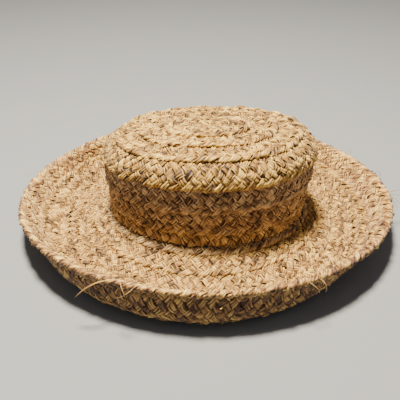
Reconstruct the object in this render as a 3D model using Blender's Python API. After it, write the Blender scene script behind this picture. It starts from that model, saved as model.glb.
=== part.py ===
"""Wide-brim plaited straw sun hat, lying on its brim as it rests by itself.

One long flat plait of raffia is sewn in a spiral from the crown tip out to the
rim. Each turn of the plait is one row: an oval band whose outer edge lies on
top of the next row, like a shingle. Metres, +Z up, the origin on the surface
that the hat rests on, under the middle of the brim.
"""

import math
from collections import namedtuple

import bmesh
import bpy
from mathutils import Vector

MM = 0.001

# Driving dimensions of the plait
PLAIT_THICKNESS = 2.4 * MM
SEWING_GAP = 0.3 * MM
ROW_LIFT = PLAIT_THICKNESS + SEWING_GAP
OVERLAP = 0.2
POINTS_ROUND = 48

# The rim is slightly wavy: three low waves round the brim
RIM_WAVE_HEIGHT = 2.5
RIM_WAVES = 3
RIM_WAVE_CREST = math.radians(215)
WAVE_STARTS_AT_ROW = 10

# The underside of the hat, as the block that it was sewn over. Each line is one
# oval round the hat, counted in rows of plait from the crown tip. Half length
# runs left to right, half width front to rear, and shift moves the oval to the
# right. The last four columns are its height at four places. All in millimetres.
Oval = namedtuple("Oval", "row half_length half_width shift front rear left right")
OVALS = (
    Oval(0.00, 0.0, 0.0, 2.0, 106.0, 106.0, 106.0, 106.0),
    Oval(1.00, 44.0, 29.5, 2.0, 108.0, 102.0, 103.0, 107.0),
    Oval(2.00, 70.5, 54.0, 3.0, 109.0, 99.0, 101.0, 107.0),
    Oval(3.00, 95.0, 77.5, 3.0, 106.0, 94.0, 96.0, 103.0),
    Oval(3.30, 100.0, 82.5, 3.5, 101.5, 91.0, 92.5, 99.5),
    Oval(3.65, 104.0, 86.5, 4.0, 94.5, 85.0, 86.5, 93.0),
    Oval(4.00, 105.5, 87.5, 3.5, 86.5, 78.5, 80.0, 85.5),
    Oval(5.00, 103.0, 85.5, 3.0, 60.5, 56.0, 57.0, 60.0),
    Oval(6.00, 99.5, 82.5, 2.0, 34.5, 33.0, 33.0, 34.0),
    Oval(6.60, 100.0, 83.0, 1.0, 18.5, 18.5, 18.5, 18.5),
    Oval(7.00, 107.5, 93.0, 0.5, 12.5, 12.5, 13.0, 13.0),
    Oval(8.00, 120.0, 115.5, 0.0, 4.5, 4.5, 8.0, 8.0),
    Oval(8.80, 133.5, 136.5, 0.0, 0.0, 0.0, 0.0, 0.0),
    Oval(9.00, 137.5, 141.5, 0.0, 0.0, 0.0, 0.0, 0.0),
    Oval(10.00, 157.5, 167.0, -1.5, 2.0, 2.0, 4.0, 4.0),
    Oval(10.30, 164.5, 175.0, -3.0, 3.5, 3.5, 7.0, 7.0),
    Oval(10.60, 171.0, 183.0, -4.5, 8.5, 8.0, 11.0, 11.0),
    Oval(11.00, 178.0, 184.6, -4.0, 18.5, 16.0, 16.5, 16.5),
    Oval(11.75, 192.0, 181.8, -1.0, 41.5, 31.0, 29.5, 30.5),
    Oval(12.00, 198.0, 187.0, 0.0, 43.5, 33.0, 32.0, 33.0),
)
LAST_ROW = 11

# Each row of plait: its node, its colour and how rough the straw is
Row = namedtuple("Row", "name colour roughness")
ROWS = (
    Row("crown_tip", (0.72, 0.50, 0.25), 0.62),
    Row("crown_top_row_1", (0.70, 0.48, 0.24), 0.62),
    Row("crown_top_row_2", (0.69, 0.47, 0.23), 0.63),
    Row("crown_shoulder_row", (0.66, 0.44, 0.21), 0.64),
    Row("crown_side_row_1", (0.58, 0.36, 0.17), 0.66),
    Row("crown_side_row_2", (0.55, 0.34, 0.16), 0.66),
    Row("crown_base_row", (0.58, 0.37, 0.17), 0.66),
    Row("brim_row_1", (0.62, 0.41, 0.20), 0.65),
    Row("brim_row_2", (0.66, 0.44, 0.21), 0.64),
    Row("brim_row_3", (0.67, 0.45, 0.22), 0.64),
    Row("brim_row_4", (0.66, 0.44, 0.22), 0.64),
    Row("brim_edge_row", (0.74, 0.53, 0.28), 0.60),
)


def oval_at(row):
    """The oval at any row count, in between two lines of the table."""
    for inner, outer in zip(OVALS, OVALS[1:]):
        if row <= outer.row:
            break
    share = (row - inner.row) / (outer.row - inner.row)
    return Oval(*(a + (b - a) * share for a, b in zip(inner, outer)))


def underside_point(row, turn):
    """A point of the hat's underside, at an angle round the hat."""
    oval = oval_at(row)
    across, along = math.sin(turn), math.cos(turn)
    end = oval.right if along > 0 else oval.left
    face = oval.rear if across > 0 else oval.front
    height = end * along**2 + face * across**2
    share = max(0.0, (row - WAVE_STARTS_AT_ROW) / (OVALS[-1].row - WAVE_STARTS_AT_ROW))
    height += RIM_WAVE_HEIGHT * share * math.cos(RIM_WAVES * (turn - RIM_WAVE_CREST))
    return Vector((oval.shift + oval.half_length * along, oval.half_width * across, height)) * MM


def outward_normal(row, turn):
    """The direction away from the head, square to the underside."""
    step = 0.02
    first, last = OVALS[0].row, OVALS[-1].row
    inner, outer = max(first, row - step), min(last, row + step)
    down = underside_point(outer, turn) - underside_point(inner, turn)
    side = underside_point(row, turn + step) - underside_point(row, turn - step)
    return down.cross(side).normalized()


def ring_rows(index):
    """Where a row of plait has a ring of points: its edges, overlaps and bends."""
    inner = index - OVERLAP if index else OVERLAP
    outer = index + 1
    bends = [oval.row for oval in OVALS if inner < oval.row < outer]
    rings = sorted({inner, *bends, outer - OVERLAP, outer})
    return [ring for i, ring in enumerate(rings) if i == 0 or ring - rings[i - 1] > 0.01]


def lift_at(index, row):
    """How far a row of plait stands off the underside: its outer edge lies on the next row."""
    if index == LAST_ROW:
        return 0.0
    climb = (row - index) / (1 - OVERLAP)
    return ROW_LIFT * min(1.0, max(0.0, climb))


def add_ring(bm, index, row):
    """One closed ring of points on the lower face of a row of plait; returns its edges."""
    verts = []
    for i in range(POINTS_ROUND):
        turn = 2 * math.pi * i / POINTS_ROUND
        lift = lift_at(index, row)
        offset = outward_normal(row, turn) * lift if lift else Vector()
        verts.append(bm.verts.new(underside_point(row, turn) + offset))
    return [bm.edges.new((verts[i - 1], verts[i])) for i in range(POINTS_ROUND)]


def straw_material(name, colour, roughness):
    """Dried raffia: a matt straw with a faint waxy sheen."""
    material = bpy.data.materials.new("straw_" + name)
    material.use_nodes = True
    shader = material.node_tree.nodes["Principled BSDF"]
    shader.inputs["Base Color"].default_value = (*colour, 1.0)
    shader.inputs["Roughness"].default_value = roughness
    shader.inputs["Metallic"].default_value = 0.0
    return material


def add_row(index, row):
    """One turn of the plait: rings bridged to a band, which Solidify gives its thickness."""
    bm = bmesh.new()
    rings = [add_ring(bm, index, ring_row) for ring_row in ring_rows(index)]
    for inner, outer in zip(rings, rings[1:]):
        bmesh.ops.bridge_loops(bm, edges=inner + outer)
    if index == 0:
        filled = bmesh.ops.holes_fill(bm, edges=rings[0], sides=POINTS_ROUND)
        bmesh.ops.poke(bm, faces=filled["faces"])
    bmesh.ops.recalc_face_normals(bm, faces=bm.faces)
    bm.faces.ensure_lookup_table()
    face = bm.faces[0]
    middle = face.calc_center_median()
    turn = math.atan2(middle.y, middle.x)
    if face.normal.dot(outward_normal(index + 0.5, turn)) < 0:
        bmesh.ops.reverse_faces(bm, faces=bm.faces)

    mesh = bpy.data.meshes.new(row.name)
    bm.to_mesh(mesh)
    bm.free()
    mesh.shade_smooth()
    mesh.set_sharp_from_angle(angle=math.radians(50))
    mesh.materials.append(straw_material(*row))
    piece = bpy.data.objects.new(row.name, mesh)
    bpy.context.scene.collection.objects.link(piece)
    wall = piece.modifiers.new("plait_thickness", "SOLIDIFY")
    wall.thickness = PLAIT_THICKNESS
    wall.offset = 1.0
    wall.use_even_offset = True
    return piece


for old in list(bpy.data.objects):
    bpy.data.objects.remove(old, do_unlink=True)

for number, plait_row in enumerate(ROWS):
    add_row(number, plait_row)
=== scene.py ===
"""The looks of a wide-brim sun hat of plaited raffia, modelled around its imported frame."""

import math

import bpy
import numpy as np
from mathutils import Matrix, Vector


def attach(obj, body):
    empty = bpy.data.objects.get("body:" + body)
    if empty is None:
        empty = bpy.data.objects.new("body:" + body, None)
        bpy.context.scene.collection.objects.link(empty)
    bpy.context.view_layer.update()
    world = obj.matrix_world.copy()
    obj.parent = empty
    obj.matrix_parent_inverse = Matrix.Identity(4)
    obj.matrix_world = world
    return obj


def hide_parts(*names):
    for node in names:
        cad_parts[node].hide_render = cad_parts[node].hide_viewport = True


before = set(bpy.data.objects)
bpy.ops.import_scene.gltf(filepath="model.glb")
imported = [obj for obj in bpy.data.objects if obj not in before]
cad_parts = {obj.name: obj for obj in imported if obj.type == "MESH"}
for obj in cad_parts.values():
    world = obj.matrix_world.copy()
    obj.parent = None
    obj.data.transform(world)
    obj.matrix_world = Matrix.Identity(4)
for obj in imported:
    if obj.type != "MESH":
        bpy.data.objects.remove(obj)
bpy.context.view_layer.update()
bpy.ops.object.select_all(action="DESELECT")

# Camera
# Stands in front of the hat, 0.57 m off and 0.36 m above the surface that the hat
# rests on, and looks down at 31 degrees. Its lens has a focal length of 600 pixels
# for a frame 400 pixels wide.
CAMERA_PLACE = (-0.004, -0.567, 0.363)
CAMERA_DOWN = math.radians(31.0)
CAMERA_PAN = math.radians(0.2)
SENSOR_WIDTH = 36.0
FOCAL_PIXELS = 600
FRAME_PIXELS = 400

bpy.ops.object.camera_add(
    location=CAMERA_PLACE, rotation=(math.radians(90) - CAMERA_DOWN, 0, CAMERA_PAN)
)
camera = bpy.context.object
camera.name = "camera"
camera.data.sensor_width = SENSOR_WIDTH
camera.data.lens = SENSOR_WIDTH * FOCAL_PIXELS / FRAME_PIXELS
bpy.context.scene.camera = camera

# Crown of the hat
# One flat plait of seven raffia strands, sewn round in rows from the middle of the
# crown. The outer edge of each row is stitched on top of the next one. A strand is
# a flattened bundle of leaf fibre, which goes over one and under one and folds
# back at both edges of the plait.
STRANDS = 7
PLAIT_WIDTH = 0.033
FOLD_PITCH = 2 * PLAIT_WIDTH / STRANDS
STRAND_WIDTH = 0.0073
STRAND_THICKNESS = 0.0023
WEAVE_HEIGHT = 0.0015
WEAVE_SQUARENESS = 0.8
FOLD_ROUNDING = 0.10
FOLD_REACH = 0.45
TURN_OVER_FROM_FOLD = 0.62
TURN_OVER_LENGTH = 0.4
PLAIT_MIDDLE = 0.0020
ROW_LIFT = 0.0026
OVERLAP = 0.27
STEPS_A_FOLD = 6
STEPS_ROUND_HAT = 720
LAST_ROW = 11
CROWN_SEED = 11
MM = 0.001
CENTIMETRE = 0.01
WELD_DISTANCE = 0.00001

# Half the section of a strand: places across it, from -1 to 1, and its height there in
# half thicknesses. Three ribs with two deep grooves are the bundles of fibre. Both
# faces have them, because the strand turns over each time it folds back.
SECTION = (
    (-1.00, 0.15),
    (-0.70, 0.95),
    (-0.36, 0.35),
    (0.00, 1.00),
    (0.36, 0.35),
    (0.70, 0.95),
    (1.00, 0.15),
)
WIDTHS_ROUND_SECTION = 2.2

# How irregular the strands are. Each pair is the size of a wobble, a share or metres,
# and about how far apart its waves are, in folds of the plait.
WIDTH_WOBBLE = (0.10, 1.1)
DRIFT_WOBBLE = (0.00045, 2.0)
LEAN_WOBBLE = (0.09, 0.9)
PUFF_WOBBLE = (0.20, 1.1)
RISE_WOBBLE = (0.00026, 1.4)
RIB_WOBBLE = (0.26, 0.8)
WAVES_A_WOBBLE = 6
WAVE_SPREAD = (0.6, 1.7)

# The form of the hat: ovals counted in rows of plait from the crown tip, with half
# length, half width and shift to the right, and their heights in front, behind, left
# and right, in millimetres. They are those of the part's source, apart from the
# first, which is the narrow slit that the plait starts round.
OVAL_COLUMNS = ("row", "half_length", "half_width", "shift", "front", "rear", "left", "right")
OVALS = (
    (0.00, 15.0, 0.6, 2.0, 106.0, 106.0, 106.0, 106.0),
    (1.00, 44.0, 29.5, 2.0, 108.0, 102.0, 103.0, 107.0),
    (2.00, 70.5, 54.0, 3.0, 109.0, 99.0, 101.0, 107.0),
    (3.00, 95.0, 77.5, 3.0, 106.0, 94.0, 96.0, 103.0),
    (3.30, 100.0, 82.5, 3.5, 101.5, 91.0, 92.5, 99.5),
    (3.65, 104.0, 86.5, 4.0, 94.5, 85.0, 86.5, 93.0),
    (4.00, 105.5, 87.5, 3.5, 86.5, 78.5, 80.0, 85.5),
    (5.00, 103.0, 85.5, 3.0, 60.5, 56.0, 57.0, 60.0),
    (6.00, 99.5, 82.5, 2.0, 34.5, 33.0, 33.0, 34.0),
    (6.60, 100.0, 83.0, 1.0, 18.5, 18.5, 18.5, 18.5),
    (7.00, 107.5, 93.0, 0.5, 12.5, 12.5, 13.0, 13.0),
    (8.00, 120.0, 115.5, 0.0, 4.5, 4.5, 8.0, 8.0),
    (8.80, 133.5, 136.5, 0.0, 0.0, 0.0, 0.0, 0.0),
    (9.00, 137.5, 141.5, 0.0, 0.0, 0.0, 0.0, 0.0),
    (10.00, 157.5, 167.0, -1.5, 2.0, 2.0, 4.0, 4.0),
    (10.30, 164.5, 175.0, -3.0, 3.5, 3.5, 7.0, 7.0),
    (10.60, 171.0, 183.0, -4.5, 8.5, 8.0, 11.0, 11.0),
    (11.00, 178.0, 184.6, -4.0, 18.5, 16.0, 16.5, 16.5),
    (11.75, 192.0, 181.8, -1.0, 41.5, 31.0, 29.5, 30.5),
    (12.00, 198.0, 187.0, 0.0, 43.5, 33.0, 32.0, 33.0),
)
RIM_WAVE_HEIGHT = 2.5
RIM_WAVES = 3
RIM_WAVE_CREST = math.radians(215)
WAVE_STARTS_AT_ROW = 10
BEND_ROUNDING = (-0.08, 0.0, 0.08)
SEAM_WAVES = (5, 9, 14, 23)
SEAM_UNEVENNESS = 0.15
EDGE_FULLNESS = 0.3

# Painted light on the straw, from 0 in a hollow between strands, where painted shade is darkest, to 1
# on a lit rib
PASSING_OVER = 0.4
HOLLOW = 0.1
# Painted highlight on the folded edges of the plait
FOLD_PAINTED_HIGHLIGHT = 0.75
# Painted shade on the face of a strand that is down
SHADED_FACE = 0.65


def underside(row, turn):
    """Points of the hat's underside, with the bends between the ovals rounded off."""
    table = dict(zip(OVAL_COLUMNS, zip(*OVALS)))
    oval = {}
    for column in OVAL_COLUMNS[1:]:
        values = [np.interp(row + shift, table["row"], table[column]) for shift in BEND_ROUNDING]
        oval[column] = sum(values) / len(values)
    along, across = np.cos(turn), np.sin(turn)
    end = np.where(along > 0, oval["right"], oval["left"])
    face = np.where(across > 0, oval["rear"], oval["front"])
    share = np.clip((row - WAVE_STARTS_AT_ROW) / (LAST_ROW + 1 - WAVE_STARTS_AT_ROW), 0, 1)
    wave = RIM_WAVE_HEIGHT * share * np.cos(RIM_WAVES * (turn - RIM_WAVE_CREST))
    height = end * along**2 + face * across**2 + wave
    x = oval["shift"] + oval["half_length"] * along
    return np.stack([x, oval["half_width"] * across, height], axis=-1) * MM


def unit(vectors):
    """Vectors of length one."""
    return vectors / np.maximum(np.linalg.norm(vectors, axis=-1, keepdims=True), 1e-12)


def on_hat(row, turn, height):
    """Points at a height above the underside, square to it."""
    step = 0.02
    down = underside(row + step, turn) - underside(row - step, turn)
    side = underside(row, turn + step) - underside(row, turn - step)
    return underside(row, turn) + unit(np.cross(down, side)) * height[..., None]


def wander(place, length, wobble, rng):
    """A smooth random wobble along a strand, which meets itself at the end of its length."""
    size, every = wobble
    total = np.zeros_like(place)
    for _ in range(WAVES_A_WOBBLE):
        waves = max(1, round(length / (every * rng.uniform(*WAVE_SPREAD))))
        phase = rng.uniform(0, 2 * math.pi)
        total += np.sin(2 * math.pi * waves * place / length + phase)
    return total * size / math.sqrt(WAVES_A_WOBBLE / 2)


def plait_row(name, index, lift, fold_fullness, seed):
    """One row of the plait, as a closed mesh of one strand that runs round it seven times."""
    rng = np.random.default_rng(seed)
    inner = index - OVERLAP if index else 0.0
    turns = np.linspace(0, 2 * math.pi, STEPS_ROUND_HAT + 1)
    middle = underside(np.full_like(turns, index + 0.5), turns)
    distance = np.concatenate([[0], np.cumsum(np.linalg.norm(np.diff(middle, axis=0), axis=1))])
    folds = round(distance[-1] / FOLD_PITCH)
    folds += folds % STRANDS == 0
    length = folds * STRANDS
    steps = length * STEPS_A_FOLD

    outline = SECTION + tuple((place, -height) for place, height in SECTION[-2:0:-1])
    around = len(outline)
    bpy.ops.mesh.primitive_grid_add(x_subdivisions=steps, y_subdivisions=around, size=2)
    piece = bpy.context.object
    piece.name = name
    mesh = piece.data
    flat = np.empty(len(mesh.vertices) * 3)
    mesh.vertices.foreach_get("co", flat)
    flat = flat.reshape(-1, 3)
    place = (flat[:, 0] + 1) / 2 * length
    corner = np.rint((flat[:, 1] + 1) / 2 * around).astype(int) % around
    sideways, fullness = np.array(outline)[corner].T
    half = fullness * STRAND_THICKNESS / 2

    width = STRAND_WIDTH / 2 * (1 + wander(place, length, WIDTH_WOBBLE, rng))
    drift = wander(place, length, DRIFT_WOBBLE, rng)
    lean = wander(place, length, LEAN_WOBBLE, rng)
    puff = 1 + wander(place, length, PUFF_WOBBLE, rng)
    rise = wander(place, length, RISE_WOBBLE, rng)
    uneven = np.ones_like(place)
    for point in range(around):
        mine = corner == point
        uneven[mine] += wander(place[mine], length, RIB_WOBBLE, rng)
    # The stitches pull some stretches of a seam down tight and leave others standing
    seam_phases = rng.uniform(0, 2 * math.pi, len(SEAM_WAVES))

    def centre(s, offset):
        """The strand's middle surface at a place and an offset across it, and how far it is up."""
        shifted = offset / (math.sqrt(2) * FOLD_PITCH)
        path = s % STRANDS
        own = path - shifted
        turned = own % STRANDS
        to_start = np.minimum(turned, STRANDS - turned)
        to_far = np.abs(turned - STRANDS / 2)
        to_fold = np.minimum(to_start, to_far)
        soft = np.sqrt(to_fold**2 + FOLD_ROUNDING**2) - FOLD_ROUNDING
        across = np.where(to_start < to_far, soft, STRANDS / 2 - soft)
        near = np.clip((TURN_OVER_FROM_FOLD - to_fold) / TURN_OVER_LENGTH, 0, 1)
        near = near * near * (3 - 2 * near)
        mixed = (path + near * (own - path)) % STRANDS
        going = mixed < STRANDS / 2
        wave = np.where(going, -1, 1) * np.cos(2 * math.pi * mixed)
        from_start = (mixed + STRANDS / 2) % STRANDS - STRANDS / 2
        from_far = mixed - STRANDS / 2
        wave = np.where(np.abs(from_start) < 0.5, np.sin(math.pi * from_start), wave)
        wave = np.where(np.abs(from_far) < 0.5, np.sin(math.pi * from_far), wave)
        wave = np.tanh(WEAVE_SQUARENESS * wave) / math.tanh(WEAVE_SQUARENESS)
        row = inner + (index + 1 - inner) * across / (STRANDS / 2)
        round_hat = ((s + shifted) % folds) / folds * distance[-1]
        turn = np.interp(round_hat, distance, turns)
        seam = sum(np.sin(waves * turn + phase) for waves, phase in zip(SEAM_WAVES, seam_phases))
        climb = np.clip((row - index) / (1 - OVERLAP), 0, 1) * (1 + SEAM_UNEVENNESS * seam)
        height = PLAIT_MIDDLE + lift * climb + WEAVE_HEIGHT * wave * puff + rise + offset * lean
        return on_hat(row, turn, height), wave

    offset = sideways * width + drift
    nudge = 0.02
    aside = 0.0002
    ahead = centre(place + nudge, offset)[0] - centre(place - nudge, offset)[0]
    beside = centre(place, offset + aside)[0] - centre(place, offset - aside)[0]
    middle_points, wave = centre(place, offset)
    # A strand that folds back doubles up, so the plait's outer edge is thick like a rope
    to_far_fold = np.abs(place % STRANDS - STRANDS / 2)
    folded = np.exp(-((to_far_fold / FOLD_REACH) ** 2))
    thick = half * uneven * (1 + fold_fullness * folded)
    points = middle_points + unit(np.cross(ahead, beside)) * thick[:, None]
    # The strands that touch the table are pressed flat on it
    points[:, 2] = np.maximum(points[:, 2], 0.0)
    mesh.vertices.foreach_set("co", points.astype(np.float32).ravel())

    # Painted light at each point: 1 on a rib of a strand that passes over, 0 in a hollow,
    # where painted shade is darkest. On its way back a strand has its other face up. The
    # face that is down gets more painted shade, and the folded edges get a painted highlight.
    going_out = place % STRANDS < STRANDS / 2
    faces_up = (fullness > 0) == going_out
    stands = 1 - PASSING_OVER + PASSING_OVER * np.where(faces_up, wave, -wave)
    painted_light = np.clip(stands * (HOLLOW + (1 - HOLLOW) * np.abs(fullness) * uneven), 0, 1)
    # Painted highlight on the folded edges of the plait
    painted_light = np.maximum(painted_light, FOLD_PAINTED_HIGHLIGHT * folded)
    # Painted shade on the face of a strand that is down
    painted_light = np.where(faces_up, painted_light, painted_light * SHADED_FACE)
    mesh.attributes.new("painted_light", "FLOAT", "POINT").data.foreach_set(
        "value", painted_light.astype(np.float32)
    )

    # The map runs in centimetres along the strand and in strand widths round its section
    uv = np.empty(len(mesh.loops) * 2)
    mesh.uv_layers.active.data.foreach_get("uv", uv)
    uv = uv.reshape(-1, 2)
    uv[:, 0] *= length * FOLD_PITCH * math.sqrt(2) / CENTIMETRE
    uv[:, 1] *= WIDTHS_ROUND_SECTION
    mesh.uv_layers.active.data.foreach_set("uv", uv.astype(np.float32).ravel())

    bpy.ops.object.mode_set(mode="EDIT")
    bpy.ops.mesh.select_all(action="SELECT")
    bpy.ops.mesh.remove_doubles(threshold=WELD_DISTANCE)
    bpy.ops.mesh.normals_make_consistent(inside=False)
    bpy.ops.object.mode_set(mode="OBJECT")
    mesh.shade_smooth()
    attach(piece, "root")
    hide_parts(name.replace("plaited_", ""))
    return piece


def linear(hex_colour):
    """An sRGB hex colour as a linear colour with full alpha."""
    parts = [int(hex_colour[i : i + 2], 16) / 255 for i in (1, 3, 5)]
    return (*(c / 12.92 if c <= 0.04045 else ((c + 0.055) / 1.055) ** 2.4 for c in parts), 1.0)


def node(tree, kind, settings=None, **links):
    """Adds a shader node with its settings; a link's value is a plain value or another socket."""
    added = tree.nodes.new(kind)
    for key, value in (settings or {}).items():
        setattr(added, key, value)
    for key, value in links.items():
        socket = added.inputs[int(key[1:]) if key[1:].isdigit() else key.replace("_", " ")]
        if isinstance(value, bpy.types.NodeSocket):
            tree.links.new(value, socket)
        else:
            socket.default_value = value
    return added


def raffia(name, dark, middle, pale, roughness):
    """Dried raffia leaf: matt straw with fine fibres along the strand and a faint waxy sheen."""
    material = bpy.data.materials.new(name)
    material.use_nodes = True
    tree = material.node_tree
    shader = tree.nodes["Principled BSDF"]
    uv = node(tree, "ShaderNodeUVMap", {"uv_map": "UVMap"}).outputs["UV"]
    # Real fibres are about 0.3 mm wide, too fine to show. They are drawn about 1.6 mm wide and
    # 25 mm long: 4.5 for each strand width and 0.4 for each centimetre along it.
    fibre_map = node(tree, "ShaderNodeMapping", Vector=uv, Scale=(0.4, 4.5, 1.0))
    fibre = node(tree, "ShaderNodeTexNoise", {"noise_dimensions": "2D"},
                 Vector=fibre_map.outputs[0], Scale=1.0, Detail=3.0, Roughness=0.6)
    # Stretches of strand about 18 mm long have a tone of their own
    tone_map = node(tree, "ShaderNodeMapping", Vector=uv, Scale=(0.55, 0.35, 1.0))
    tone = node(tree, "ShaderNodeTexNoise", {"noise_dimensions": "2D"},
                Vector=tone_map.outputs[0], Scale=1.0, Detail=1.0, Roughness=0.5)
    clear_fibre = node(tree, "ShaderNodeMapRange", _0=fibre.outputs[0], _1=0.40, _2=0.58)
    clear_tone = node(tree, "ShaderNodeMapRange", _0=tone.outputs[0], _1=0.36, _2=0.62)
    mixed = node(tree, "ShaderNodeMix", {"data_type": "FLOAT"},
                 _0=0.4, _2=clear_fibre.outputs[0], _3=clear_tone.outputs[0])
    # The straw's own fibres and tone, mixed with painted light: painted shade in the hollows and on
    # lower faces, painted highlight on the folded edges
    painted_light = node(tree, "ShaderNodeAttribute", {"attribute_name": "painted_light"})
    tone_and_painted_light = node(tree, "ShaderNodeMix", {"data_type": "FLOAT"},
                _0=0.5, _2=mixed.outputs[0], _3=painted_light.outputs["Fac"])
    ramp = node(tree, "ShaderNodeValToRGB", Fac=tone_and_painted_light.outputs[0])
    ramp.color_ramp.elements[0].position = 0.35
    ramp.color_ramp.elements[0].color = linear(dark)
    ramp.color_ramp.elements[1].position = 0.90
    ramp.color_ramp.elements[1].color = linear(pale)
    step = ramp.color_ramp.elements.new(0.60)
    step.color = linear(middle)
    tree.links.new(ramp.outputs[0], shader.inputs["Base Color"])
    bump = node(tree, "ShaderNodeBump", Strength=1.0, Distance=0.0016, Height=fibre.outputs[0])
    tree.links.new(bump.outputs[0], shader.inputs["Normal"])
    shader.inputs["Roughness"].default_value = roughness
    shader.inputs["Specular IOR Level"].default_value = 0.35
    shader.inputs["Sheen Weight"].default_value = 0.15
    return material


crown_straw = raffia("dried_raffia_crown", "#2e1b09", "#ae7f38", "#ffdc74", 0.55)
for index, node_name in enumerate(
    ("crown_tip", "crown_top_row_1", "crown_top_row_2", "crown_shoulder_row")
):
    row = plait_row("plaited_" + node_name, index, ROW_LIFT, EDGE_FULLNESS, CROWN_SEED + index)
    row.data.materials.append(crown_straw)

# Side of the crown
# Three more rows of the raffia plait, each sewn under the one above: two go down the
# side, and the third bends out into the brim. Their straw is a duller, less yellow copy
# of the crown's, which paints the colour of shade on the sides and the base.
SIDE_LIFT = 0.0014
SIDE_SEED = 21
# Copies of the crown's straw with painted shade: duller and less yellow
side_straw_painted_shade = raffia("dried_raffia_crown_side_painted_shade", "#3a2418", "#ab8862", "#f3d8a8", 0.62)
base_straw_painted_shade = raffia("dried_raffia_crown_base_painted_shade", "#3c2817", "#b68f5e", "#fbdc9c", 0.61)
for index, node_name, straw in (
    (4, "crown_side_row_1", side_straw_painted_shade),
    (5, "crown_side_row_2", side_straw_painted_shade),
    (6, "crown_base_row", base_straw_painted_shade),
):
    row = plait_row("plaited_" + node_name, index, SIDE_LIFT, EDGE_FULLNESS, SIDE_SEED + index)
    row.data.materials.append(straw)

# Brim
# Four rows: three lie nearly flat, and the fourth bends up. They are sewn down
# flatter than the crown's, so that their seams hardly show.
BRIM_LIFT = 0.0013
BRIM_SEED = 31
FIRST_BRIM_ROW = 7
brim_straw = raffia("dried_raffia_brim", "#311d0b", "#ad7e3d", "#fdd777", 0.56)
for index, node_name in enumerate(
    ("brim_row_1", "brim_row_2", "brim_row_3", "brim_row_4"), FIRST_BRIM_ROW
):
    row = plait_row("plaited_" + node_name, index, BRIM_LIFT, EDGE_FULLNESS, BRIM_SEED + index)
    row.data.materials.append(brim_straw)

# Raised edge of the brim
# The last row stands up all round. Its outer edge, where the strands fold back,
# is the rim, as thick as a rope.
RIM_LIFT = 0.0
RIM_FULLNESS = 1.1
RIM_SEED = 51
# Its dark end is a redder brown, the colour of the painted shade on the raised edge's outer face
rim_straw = raffia("dried_raffia_rim", "#4a2c1a", "#b5854a", "#ffdf7e", 0.55)
row = plait_row("plaited_brim_edge_row", LAST_ROW, RIM_LIFT, RIM_FULLNESS, RIM_SEED)
row.data.materials.append(rim_straw)

# Loose straws
# Bare ends of raffia that slipped out of the rim's folds, and short fine hairs all
# over the plait. Each tapers to nothing at both ends.
STRAW_STEPS = 8
STRAW_SIDES = 4
STRAW_FLATNESS = 0.6
STRAW_FACES = (0.0, 0.3, 1.0)
STRAW_WELD_DISTANCE = 0.000001

# A hair starts anywhere outside this row, runs up to this far across the rows, in rows,
# and round the hat, in metres. Its four points stand at these heights above the
# underside, of which the middle two are random.
HAIRS = 260
HAIR_SEED = 71
HAIR_WIDTH = 0.45
FIRST_HAIR_ROW = 0.5
HAIR_REACH = 0.3
HAIR_SWEEP = 0.006
HAIR_ROOT = 0.003
HAIR_LEAN = (0.004, 0.007)
HAIR_BEND = (0.005, 0.009)
HAIR_TIP = 0.005

# Where a straw leaves the rim, two places that it bends towards, its tip, and its width,
# in millimetres
STRAWS = (
    ((-84, -166, 42), (-90, -174, 49), (-102, -176, 43), (-113, -173, 28), 2.1),
    ((-72, -170, 45), (-72, -182, 52), (-66, -188, 44), (-67, -186, 36), 0.9),
    ((-60, -176, 44), (-64, -190, 46), (-74, -186, 38), (-77, -178, 34), 0.8),
    ((96, -162, 42), (100, -173, 48), (103, -173, 38), (101, -168, 31), 0.9),
    ((86, -166, 42), (92, -176, 44), (97, -176, 38), (95, -170, 33), 0.7),
    ((192, -10, 34), (198, -9, 40), (204, -9, 41), (211, -10, 41), 1.0),
    ((192, -10, 34), (200, -11, 38), (205, -12, 36), (211, -12, 36), 0.9),
    ((193, -14, 34), (199, -14, 38), (204, -15, 34), (208, -17, 28), 0.8),
    ((193, -17, 34), (199, -18, 37), (203, -19, 31), (205, -20, 23), 0.8),
    ((190, 36, 33), (196, 40, 40), (200, 34, 42), (196, 28, 36), 0.8),
    ((175, 86, 33), (178, 88, 38), (177, 90, 42), (173, 92, 42), 0.7),
    ((-194, 24, 32), (-199, 25, 38), (-202, 28, 40), (-205, 30, 40), 0.7),
)


def loose_straw(start, lean, bend, tip, width):
    """One straw as a tapered tube on a curve that its four points shape."""
    bpy.ops.mesh.primitive_grid_add(x_subdivisions=STRAW_STEPS, y_subdivisions=STRAW_SIDES, size=2)
    straw = bpy.context.object
    flat = np.empty(len(straw.data.vertices) * 3)
    straw.data.vertices.foreach_get("co", flat)
    along, around = (flat.reshape(-1, 3)[:, :2] + 1).T
    t = along[:, None] / 2
    start, lean, bend, tip = (np.array(point) * MM for point in (start, lean, bend, tip))
    middle = (1 - t) ** 3 * start + 3 * (1 - t) ** 2 * t * lean + 3 * (1 - t) * t**2 * bend + t**3 * tip
    ahead = (1 - t) ** 2 * (lean - start) + 2 * (1 - t) * t * (bend - lean) + t**2 * (tip - bend)
    side = unit(np.cross(ahead, np.array(STRAW_FACES)))
    over = unit(np.cross(side, ahead))
    radius = width * MM / 2 * (1 - (2 * t - 1) ** 4)
    angle = math.pi * around[:, None]
    points = middle + radius * (np.cos(angle) * side + STRAW_FLATNESS * np.sin(angle) * over)
    straw.data.vertices.foreach_set("co", points.astype(np.float32).ravel())
    return straw


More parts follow.
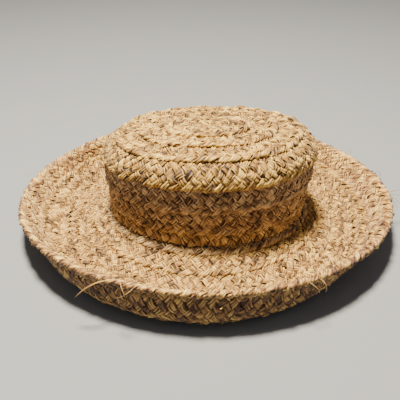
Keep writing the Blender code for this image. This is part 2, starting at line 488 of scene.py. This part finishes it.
straws = [loose_straw(*straw) for straw in STRAWS]
hair_rng = np.random.default_rng(HAIR_SEED)
for _ in range(HAIRS):
    hair_row = hair_rng.uniform(FIRST_HAIR_ROW, LAST_ROW + 1)
    hair_turn = hair_rng.uniform(0, 2 * math.pi)
    reach = hair_rng.uniform(-HAIR_REACH, HAIR_REACH)
    sweep = hair_rng.uniform(-HAIR_SWEEP, HAIR_SWEEP)
    sweep /= np.linalg.norm(underside(hair_row, hair_turn))
    lean, bend = hair_rng.uniform(*HAIR_LEAN), hair_rng.uniform(*HAIR_BEND)
    heights = np.array([HAIR_ROOT, lean, bend, HAIR_TIP])
    stretch = np.linspace(0, 1, len(heights))
    hair = on_hat(hair_row + reach * stretch, hair_turn + sweep * stretch, heights)
    straws.append(loose_straw(*(hair / MM), HAIR_WIDTH))
bpy.ops.object.select_all(action="DESELECT")
for straw in straws:
    straw.select_set(True)
bpy.context.view_layer.objects.active = straws[0]
bpy.ops.object.join()
loose = bpy.context.object
loose.name = "loose_straws"
bpy.ops.object.mode_set(mode="EDIT")
bpy.ops.mesh.select_all(action="SELECT")
bpy.ops.mesh.remove_doubles(threshold=STRAW_WELD_DISTANCE)
bpy.ops.mesh.normals_make_consistent(inside=False)
bpy.ops.object.mode_set(mode="OBJECT")
loose.data.shade_smooth()
# The loose straws get full painted light and no painted shade
loose.data.attributes.new("painted_light", "FLOAT", "POINT").data.foreach_set(
    "value", np.ones(len(loose.data.vertices), dtype=np.float32)
)
loose.data.materials.append(rim_straw)
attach(loose, "root")

# Floor
# A pale matt studio floor, half a millimetre under the hat.
FLOOR_SIZE = 12
FLOOR_GAP = 0.0005
bpy.ops.mesh.primitive_plane_add(size=FLOOR_SIZE, location=(0, 0, -FLOOR_GAP))
floor = bpy.context.object
floor.name = "studio_floor"
floor_paint = bpy.data.materials.new("matt_floor_paint")
floor_paint.use_nodes = True
floor_shader = floor_paint.node_tree.nodes["Principled BSDF"]
floor_shader.inputs["Base Color"].default_value = linear("#8f9397")
floor_shader.inputs["Roughness"].default_value = 0.9
floor.data.materials.append(floor_paint)

# Studio light
# A soft lamp almost overhead, a little to the left of the hat's middle and slightly
# in front of it, and a weak fill from all round.
FILL_STRENGTH = 0.23
LAMP_PLACE = Vector((-0.12, -0.04, 1.45))
LAMP_TARGET = Vector((0.0, 0.0, 0.04))
LAMP_SIZE = 0.28
LAMP_POWER = 82

world = bpy.data.worlds.new("studio_fill")
bpy.context.scene.world = world
world.use_nodes = True
fill = world.node_tree.nodes["Background"]
fill.inputs["Color"].default_value = linear("#e9edf2")
fill.inputs["Strength"].default_value = FILL_STRENGTH
bpy.ops.object.light_add(
    type="AREA",
    location=LAMP_PLACE,
    rotation=(LAMP_TARGET - LAMP_PLACE).to_track_quat("-Z", "Y").to_euler(),
)
key = bpy.context.object
key.name = "key_lamp"
key.data.shape = "DISK"
key.data.size = LAMP_SIZE
key.data.energy = LAMP_POWER
key.data.color = linear("#fff2dc")[:3]
